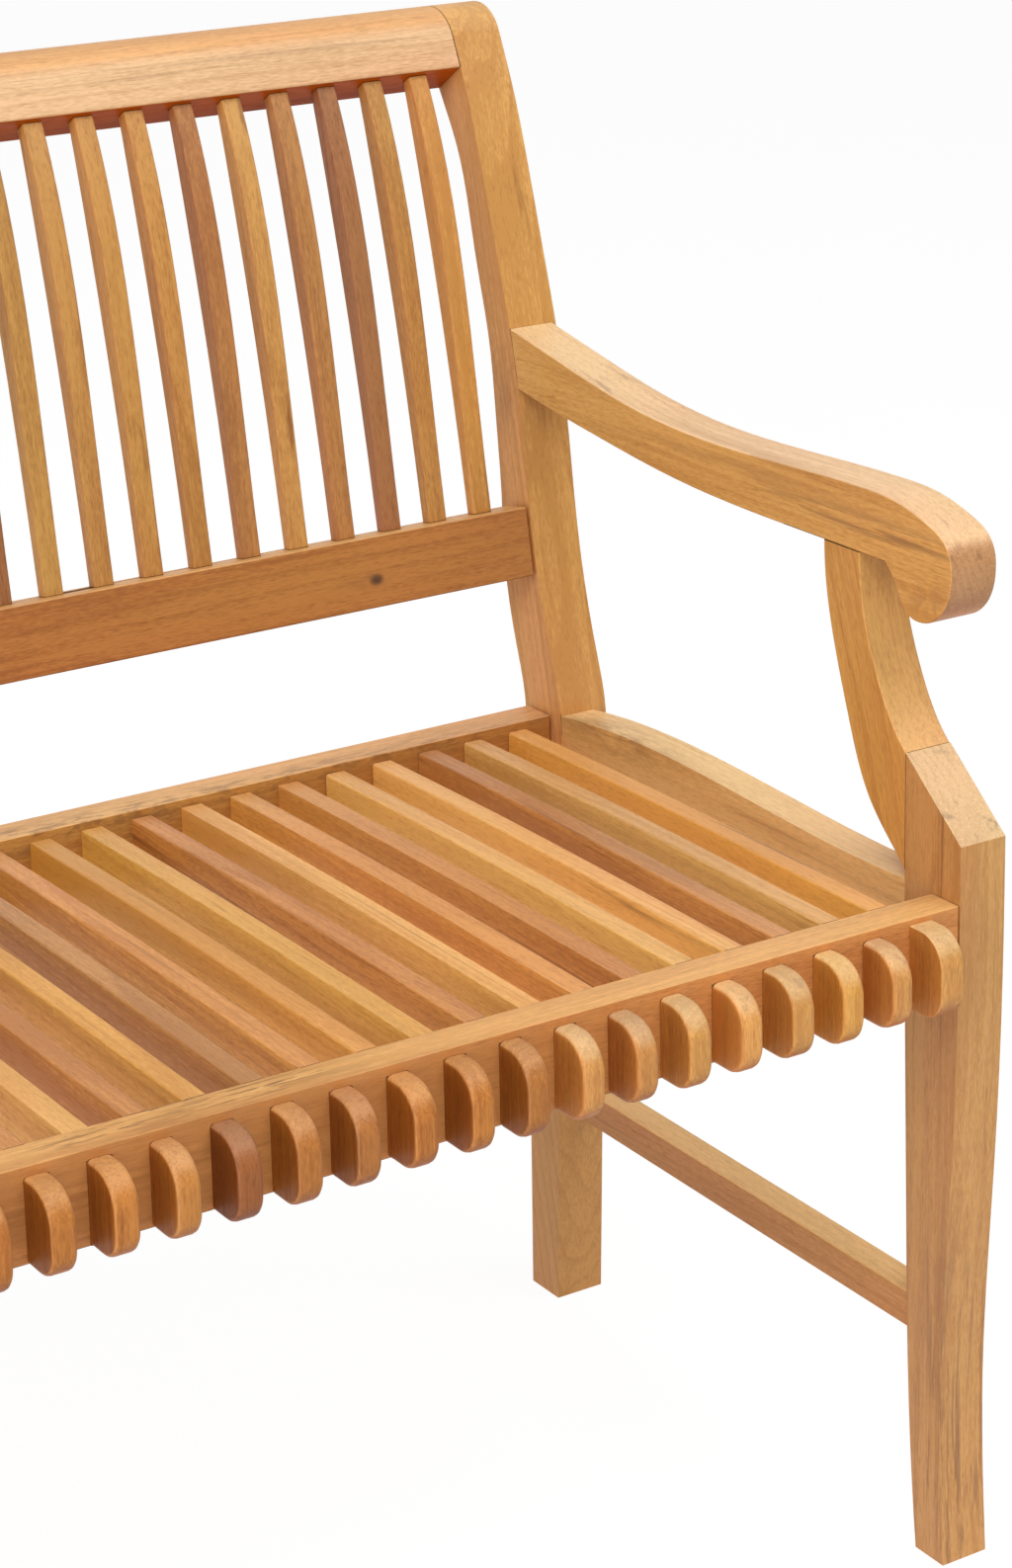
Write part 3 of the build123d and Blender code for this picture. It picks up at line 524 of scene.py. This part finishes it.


# The ends and rails

# In each piece of the ends and rails, the top, face, side and under tints and the sheen on its tops are
# painted light and shade, for how light falls on each face
framePieces = {
    "rear_post": {
        "grain": "z", "lean": 12, "pith": 0.045, "rings": 1.0, "ease": 0.0013,
        "tone": "golden", "shade": 0.95, "face": (0.88, 0.90, 1.04), "side": (1.02, 1.05, 1.45),
        "marks": (  # painted light, paler and warmer low down where the seat shades the post, and painted shade where the arm meets it
            {"place": (0.62, 0.16, 0.05), "size": (0.3, 0.3, 0.50), "colour": (0.78, 0.41, 0.17),
             "strength": 0.28, "core": 0.6, "spread": (-1, 0.2)},
            {"place": (-0.62, 0.16, 0.05), "size": (0.3, 0.3, 0.50), "colour": (0.78, 0.41, 0.17),
             "strength": 0.28, "core": 0.6, "spread": (-1, 0.2)},
            {"place": (0.60, 0.20, 0.66), "size": (0.03, 0.1, 0.05), "colour": (0.30, 0.13, 0.045),
             "strength": 0.5, "speckle": (90, 90, 30), "spread": (0.30, 0.62)},
        ),
    },
    "front_leg": {
        "grain": "z", "tone": "straw", "shade": 0.90, "sheen": 0.5, "ease": 0.0013,
        "bleach": 1.3, "streaks": 0.8,
        "top": (0.90, 1.04, 1.35), "face": (0.77, 0.75, 0.72), "side": (0.72, 0.69, 0.68),
        "marks": (  # brown streaks towards the foot
            {"place": (0.61, -0.275, 0.09), "size": (0.07, 0.07, 0.22), "colour": (0.24, 0.10, 0.036),
             "strength": 0.8, "speckle": (190, 190, 7), "spread": (0.50, 0.64)},
            {"place": (0.61, -0.25, 0.20), "size": (0.06, 0.03, 0.20), "colour": (0.34, 0.15, 0.06),
             "strength": 0.5, "speckle": (90, 90, 6), "spread": (0.40, 0.62)},
        ),
    },
    "arm_support": {
        "grain": "z", "lean": 18, "tone": "golden", "shade": 0.95, "sheen": 0.5, "ease": 0.0013,
        "face": (0.84, 0.90, 1.0), "side": (0.90, 0.88, 0.88),
    },
    "arm": {
        "grain": "y", "tone": "straw", "shade": 0.95, "sheen": 0.5, "ease": 0.0013, "streaks": 0.6,
        "bleach": 1.5, "top": (1.07, 1.18, 1.55), "face": (0.62, 0.62, 0.78), "side": (0.92, 0.95, 0.82),
        "marks": (  # long dark lines that run into the scroll, and its darker front
            {"place": (0.603, -0.19, 0.655), "size": (0.03, 0.16, 0.010), "colour": (0.24, 0.10, 0.03),
             "strength": 0.9, "speckle": (200, 7, 260), "spread": (0.44, 0.58)},
            {"place": (0.603, -0.05, 0.668), "size": (0.03, 0.25, 0.03), "colour": (0.42, 0.19, 0.055),
             "strength": 0.5, "speckle": (60, 5, 90), "spread": (0.40, 0.62)},
            {"place": (0.603, -0.245, 0.622), "size": (0.03, 0.03, 0.03), "colour": (0.30, 0.13, 0.042),
             "strength": 0.45, "speckle": (150, 60, 60), "spread": (0.40, 0.62)},
            {"place": (0.64, -0.275, 0.605), "size": (0.06, 0.03, 0.035), "colour": (0.33, 0.15, 0.055),
             "strength": 0.6, "speckle": (60, 60, 60), "spread": (0.2, 0.55)},
        ),
    },
    "side_seat_rail": {
        "grain": "y", "tone": "straw", "ease": 0.0013,
        "bleach": 2.0, "top": (1.10, 1.22, 1.45), "side": (0.96, 1.04, 1.2),
        "marks": (  # a dark streak along the dished top
            {"place": (0.60, 0.10, 0.452), "size": (0.03, 0.13, 0.028), "colour": (0.25, 0.11, 0.038),
             "strength": 0.65, "speckle": (90, 28, 90), "spread": (0.33, 0.62)},
        ),
    },
    "side_stretcher": {
        "grain": "y", "tone": "golden", "ease": 0.0013,
        "bleach": 1.6, "top": (1.18, 1.38, 1.60), "side": (0.80, 0.77, 1.12),
    },
}
railPieces = {
    "crest_rail": {
        "grain": "x", "tone": "peach", "sheen": 0.06, "ease": 0.0016, "joint": 0.0007,
        # its underside takes painted shade and its face a painted sheen
        "top": (1, 0.97, 1.08), "face": (0.97, 1.25, 2.05), "under": (0.60, 0.24, 0.012),
        "marks": (  # a small stain near the post
            {"place": (0.535, 0.26, 0.905), "size": (0.012, 0.03, 0.006), "colour": (0.36, 0.17, 0.06),
             "strength": 0.5},
        ),
    },
    "lower_back_rail": {
        "grain": "x", "tone": "amber", "ease": 0.0013, "joint": 0.0012,
        "bleach": 1.6, "top": (1.12, 1.18, 1.0), "face": (0.70, 0.64, 0.52),
        "marks": (  # a knot with its halo, and a row of specks
            {"place": (0.478, 0.172, 0.556), "size": (0.0075, 0.02, 0.0055), "colour": (0.07, 0.028, 0.012),
             "strength": 1.0, "core": 0.3, "speckle": (160, 160, 160), "spread": (0.2, 0.5)},
            {"place": (0.470, 0.172, 0.557), "size": (0.03, 0.02, 0.009), "colour": (0.22, 0.09, 0.03),
             "strength": 0.6, "speckle": (60, 200, 200), "spread": (0.3, 0.6)},
            {"place": (0.30, 0.172, 0.514), "size": (0.03, 0.02, 0.006), "colour": (0.16, 0.065, 0.024),
             "strength": 0.8, "speckle": (180, 180, 180), "spread": (0.55, 0.66)},
        ),
    },
    "rear_seat_rail": {
        "grain": "x", "tone": "honey", "ease": 0.0013,
        "bleach": 1.5, "top": (1.07, 1.10, 1.15), "face": (0.68, 0.66, 0.54),
        "marks": (  # painted shade along the face behind the slats, over rough darker wood
            {"place": (0, 0.15, 0.452), "size": (0.9, 0.03, 0.03), "colour": (0.17, 0.075, 0.028),
             "strength": 0.55, "core": 0.6, "speckle": (55, 200, 110), "spread": (0.45, 0.62)},
        ),
    },
    "front_seat_rail": {
        "grain": "x", "tone": "honey", "ease": 0.0013,
        "bleach": 1.9, "top": (1.08, 1.16, 1.08), "face": (0.88, 0.84, 0.86),
        "marks": (  # a worn spot on the top with its stain, and painted shade along the face between the blocks
            {"place": (0.10, -0.262, 0.442), "size": (0.13, 0.022, 0.01), "colour": (0.16, 0.085, 0.038),
             "strength": 1.0, "core": 0.3, "speckle": (30, 300, 300), "spread": (0.48, 0.58)},
            {"place": (0.12, -0.262, 0.442), "size": (0.2, 0.03, 0.01), "colour": (0.62, 0.31, 0.095),
             "strength": 0.7, "core": 0.3, "speckle": (20, 120, 120), "spread": (0.30, 0.60)},
            {"place": (0.05, -0.28, 0.415), "size": (0.45, 0.02, 0.06), "colour": (0.44, 0.175, 0.048),
             "strength": 0.6, "core": 0.4, "speckle": (8, 50, 50), "spread": (0.25, 0.55)},
        ),
    },
}


def camelCase(name):
    first, *rest = name.split("_")
    return first + "".join(word.title() for word in rest)


seed = 100
for baseName, settings in framePieces.items():
    for side in ("right", "left"):
        seed += 1
        nodeName = f"{baseName}_{side}"
        piece = copyNode(nodeName, camelCase(nodeName))
        easeEdges(piece, {nodeName}, settings["ease"])
        finishPiece(piece, nodeName, seed, settings)
for nodeName, settings in railPieces.items():
    seed += 1
    piece = copyNode(nodeName, camelCase(nodeName))
    easeEdges(piece, {nodeName}, settings["ease"], jointWidth=settings.get("joint", easing["joint"]))
    finishPiece(piece, nodeName, seed, settings)
print("ends and rails done")


# Seat slats, back slats and blocks, each with its own wood

toneSeed = 7


def toneRow(count, tones, chosen):
    draw = random.Random(toneSeed)
    row = [draw.choice(tones) for _ in range(count)]
    for number, tone in chosen.items():
        row[number - 1] = tone
    return row


# In each row's wood, the top, face and side tints and the sheen on its tops are painted light and shade
seatSlats = {
    "count": 33,
    "seed": 200,
    "ease": 0.0014,
    "wood": {"grain": "y", "bleach": 0.5, "side": (1.12, 1.22, 1.04),
             "tones": 1.1, "streaks": 0.95, "rings": 0.8},
    "tones": ("honey", "honey", "golden", "amber", "straw", "tan"),
    "chosen": {
        33: "golden", 32: "peach", 31: "tan", 30: "straw", 29: "straw", 28: "amber", 27: "honey",
        26: "straw", 25: "amber", 24: "golden", 23: "golden", 22: "honey", 21: "tan", 20: "golden",
        19: "amber", 18: "straw",
    },
}
backSlats = {
    "ease": 0.0014,
    "wood": {"grain": "z", "lean": 14, "streaks": 0.85,
             "face": (0.92, 1.0, 0.88), "side": (1.12, 1.14, 0.98)},
    "tones": ("honey", "honey", "golden", "amber", "brown"),
    "chosen": {
        33: "honey", 32: "khaki", 31: "dark", 30: "brown", 29: "tan", 28: "brown", 27: "khaki", 26: "khaki",
        25: "khaki", 24: "khaki", 23: "dark",
    },
}
frontBlocks = {
    "seed": 33,
    "ease": 0.0036,
    "easeVariety": (0.8, 1.12),
    "wood": {"grain": "z", "sheen": 0.26},
    "tones": ("honey", "honey", "golden", "amber", "tan"),
    "chosen": {
        33: "honey", 32: "honey", 31: "golden", 30: "honey", 29: "honey", 28: "honey", 27: "amber",
        26: "honey", 25: "tan", 24: "amber", 23: "amber", 22: "brown", 21: "tan", 20: "dark",
        19: "tan", 18: "amber", 17: "amber",
    },
    "oiledUpTo": 25,  # blocks up to this one take darker fronts, deep painted shade on their sides and little painted sheen on top, those after it more painted light
    "oiled": {"face": (0.82, 0.72, 0.50), "side": (0.52, 0.35, 0.12), "bleach": 0.4},
    "worn": {"face": (0.93, 1.0, 1.02), "side": (0.70, 0.58, 0.40), "bleach": 2.6,
             "top": (1.0, 1.15, 1.35)},
    "variety": 0.03,  # how far hand-cut blocks differ in width and height
    "sizes": {33: (1.09, 1.05)},  # width and height of a block that stands out, against the rest
}


def reshapeBlock(block, number, draw):
    # no two hand-cut blocks are the same size
    low, high = boxOf(block)
    middle = (low + high) / 2
    most = frontBlocks["variety"]
    drawn = tuple(1 + draw.uniform(-most, most) for _ in range(2))
    wider, taller = frontBlocks["sizes"].get(number, drawn)
    for corner in block.data.vertices:
        corner.co.x = middle.x + (corner.co.x - middle.x) * wider
        corner.co.z = middle.z + (corner.co.z - middle.z) * taller


def separateRow(nodeName, rowName):
    whole = copyNode(nodeName, rowName)
    activate(whole)
    bpy.ops.object.mode_set(mode="EDIT")
    bpy.ops.mesh.select_all(action="SELECT")
    bpy.ops.mesh.separate(type="LOOSE")
    bpy.ops.object.mode_set(mode="OBJECT")
    parts = sorted(bpy.context.selected_objects, key=lambda part: middleOf(part).x)
    for number, part in enumerate(parts, start=1):
        part.name = f"part{number:02d}"  # frees the names that follow
    for number, part in enumerate(parts, start=1):
        part.name = f"{rowName}{number:02d}"
    return parts


seatTones = toneRow(seatSlats["count"], seatSlats["tones"], seatSlats["chosen"])
for number, tone in enumerate(seatTones, start=1):
    nodeName = f"seat_slat_{number:02d}"
    piece = copyNode(nodeName, camelCase(nodeName))
    easeEdges(piece, {nodeName}, seatSlats["ease"], segments=2)
    finishPiece(piece, nodeName, seatSlats["seed"] + number, {"tone": tone, **seatSlats["wood"]})

backParts = separateRow("back_slats", "backSlat")
backTones = toneRow(len(backParts), backSlats["tones"], backSlats["chosen"])
for piece, tone in zip(backParts, backTones):
    easeEdges(piece, {"back_slats"}, backSlats["ease"], segments=2)
    seed += 1
    finishPiece(piece, "back_slats", seed, {"tone": tone, **backSlats["wood"]})

blockParts = separateRow("front_rail_blocks", "frontBlock")
blockDraw = random.Random(frontBlocks["seed"])
blockTones = toneRow(len(blockParts), frontBlocks["tones"], frontBlocks["chosen"])
for number, (piece, tone) in enumerate(zip(blockParts, blockTones), start=1):
    reshapeBlock(piece, number, blockDraw)
    ease = frontBlocks["ease"] * blockDraw.uniform(*frontBlocks["easeVariety"])
    easeEdges(piece, {"front_rail_blocks"}, ease)
    seed += 1
    # each block takes the painted light and shade of its group
    blockLight = frontBlocks["oiled" if number <= frontBlocks["oiledUpTo"] else "worn"]
    finishPiece(piece, "front_rail_blocks", seed, {"tone": tone, **frontBlocks["wood"], **blockLight})
print("slats and blocks done")

# Pegs and dowels keep their solids

dowelWood = {"grain": "x", "tone": "amber"}
dowelNodes = [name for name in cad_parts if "pegs" in name or "dowels" in name]
for nodeName in dowelNodes:
    seed += 1
    low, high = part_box(nodeName)
    wood = makeTeak(camelCase(nodeName), seed, dowelWood, (low + high) / 2)
    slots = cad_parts[nodeName].data.materials
    slots.clear()
    slots.append(wood)
print("dowels done")

# Floor, light and camera

studio = {
    "floorSize": 30,
    "floorSeen": 0.95,  # what the eye sees of the floor, and what it gives back to the wood
    "floorBounce": 0.90,
    "floorGlow": 1.08,
    "shadowShare": 0.14,  # how much of the shadow shows on the floor
    "worldLevel": 0.28,
}
lamps = {
    "rightLamp": {"place": (1.35, -1.7, 3.65), "target": (0.2, 0, 0.45), "size": (3.0, 2.6), "power": 60},
    "leftLamp": {"place": (-1.4, -1.9, 3.4), "target": (0.2, 0, 0.45), "size": (2.4, 2.4), "power": 78},
    "lowLamp": {"place": (-3.0, -1.3, 0.9), "target": (0.4, 0, 0.4), "size": (2.0, 1.6), "power": 28},
    "frontLamp": {"place": (-0.3, -3.4, 0.55), "target": (0.4, 0, 0.15), "size": (2.4, 0.9), "power": 9},
}
view = {
    "place": (-0.7436, -1.8954, 1.2781),
    "yaw": 0.569,  # turned to the right, down and tilted, in radians
    "pitch": 0.270,
    "roll": -0.02,
    "lens": 86.98,
    "shift": -0.185,
}


def seenDirectly(tree):
    path = addNode(tree, "ShaderNodeLightPath", (-900, 300))
    seen = maths(tree, "MAXIMUM", (-700, 300), path.outputs["Is Camera Ray"], path.outputs["Is Glossy Ray"])
    return maths(tree, "MAXIMUM", (-500, 300), seen, path.outputs["Is Transmission Ray"])


def makeFloor():
    deselectAll()
    bpy.ops.mesh.primitive_plane_add(size=studio["floorSize"], location=(0, 0, 0))
    floor = bpy.context.object
    floor.name = "floor"
    material = bpy.data.materials.new("paleFloor")
    material.use_nodes = True
    tree = material.node_tree
    tree.nodes.clear()
    white = (studio["floorSeen"],) * 3 + (1,)
    grey = (studio["floorBounce"],) * 3 + (1,)
    matt = addNode(tree, "ShaderNodeBsdfDiffuse", (-300, 0), None, {"Color": white})
    bounce = addNode(tree, "ShaderNodeBsdfDiffuse", (-100, -200), None, {"Color": grey})
    glow = addNode(tree, "ShaderNodeEmission", (-300, 200), None,
                   {"Color": (1, 1, 1, 1), "Strength": studio["floorGlow"]})
    shown = addNode(tree, "ShaderNodeMixShader", (-100, 100), None,
                    {0: studio["shadowShare"], 1: glow.outputs[0], 2: matt.outputs[0]})
    mixed = addNode(tree, "ShaderNodeMixShader", (100, 0), None,
                    {0: seenDirectly(tree), 1: bounce.outputs[0], 2: shown.outputs[0]})
    addNode(tree, "ShaderNodeOutputMaterial", (300, 0), None, {"Surface": mixed.outputs[0]})
    floor.data.materials.append(material)
    floor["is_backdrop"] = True


def makeWorld():
    world = bpy.data.worlds.new("studio")
    bpy.context.scene.world = world
    world.use_nodes = True
    tree = world.node_tree
    tree.nodes.clear()
    lit = studio["worldLevel"]
    level = maths(tree, "MULTIPLY_ADD", (-200, 200), seenDirectly(tree), 1 - lit, lit)
    sky = addNode(tree, "ShaderNodeBackground", (0, 0), None, {"Color": (1, 1, 1, 1), "Strength": level})
    addNode(tree, "ShaderNodeOutputWorld", (200, 0), None, {"Surface": sky.outputs[0]})


def addSoftLamp(name, place, target, size, power):
    lamp = bpy.data.lights.new(name, "AREA")
    lamp.shape = "RECTANGLE"
    lamp.size, lamp.size_y = size
    lamp.energy = power
    holder = bpy.data.objects.new(name, lamp)
    holder.location = place
    holder.rotation_euler = (Vector(target) - Vector(place)).to_track_quat("-Z", "Y").to_euler()
    bpy.context.scene.collection.objects.link(holder)


def makeCamera():
    yaw, pitch, roll = view["yaw"], view["pitch"], view["roll"]
    forward = Vector((math.sin(yaw) * math.cos(pitch), math.cos(yaw) * math.cos(pitch), -math.sin(pitch)))
    level = Vector((math.cos(yaw), -math.sin(yaw), 0))
    right = level * math.cos(roll) + level.cross(forward) * math.sin(roll)
    up = right.cross(forward)
    camera = bpy.data.cameras.new("camera")
    camera.lens = view["lens"]
    camera.shift_y = view["shift"]
    camera.clip_start, camera.clip_end = 0.05, 100
    holder = bpy.data.objects.new("camera", camera)
    turned = Matrix((right, up, -forward)).transposed().to_4x4()
    holder.matrix_world = Matrix.Translation(view["place"]) @ turned
    bpy.context.scene.collection.objects.link(holder)
    bpy.context.scene.camera = holder


makeFloor()
makeWorld()
for name, lamp in lamps.items():
    addSoftLamp(name, **lamp)
makeCamera()
bpy.context.scene.view_settings.view_transform = "Standard"
print("studio done")

low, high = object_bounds()
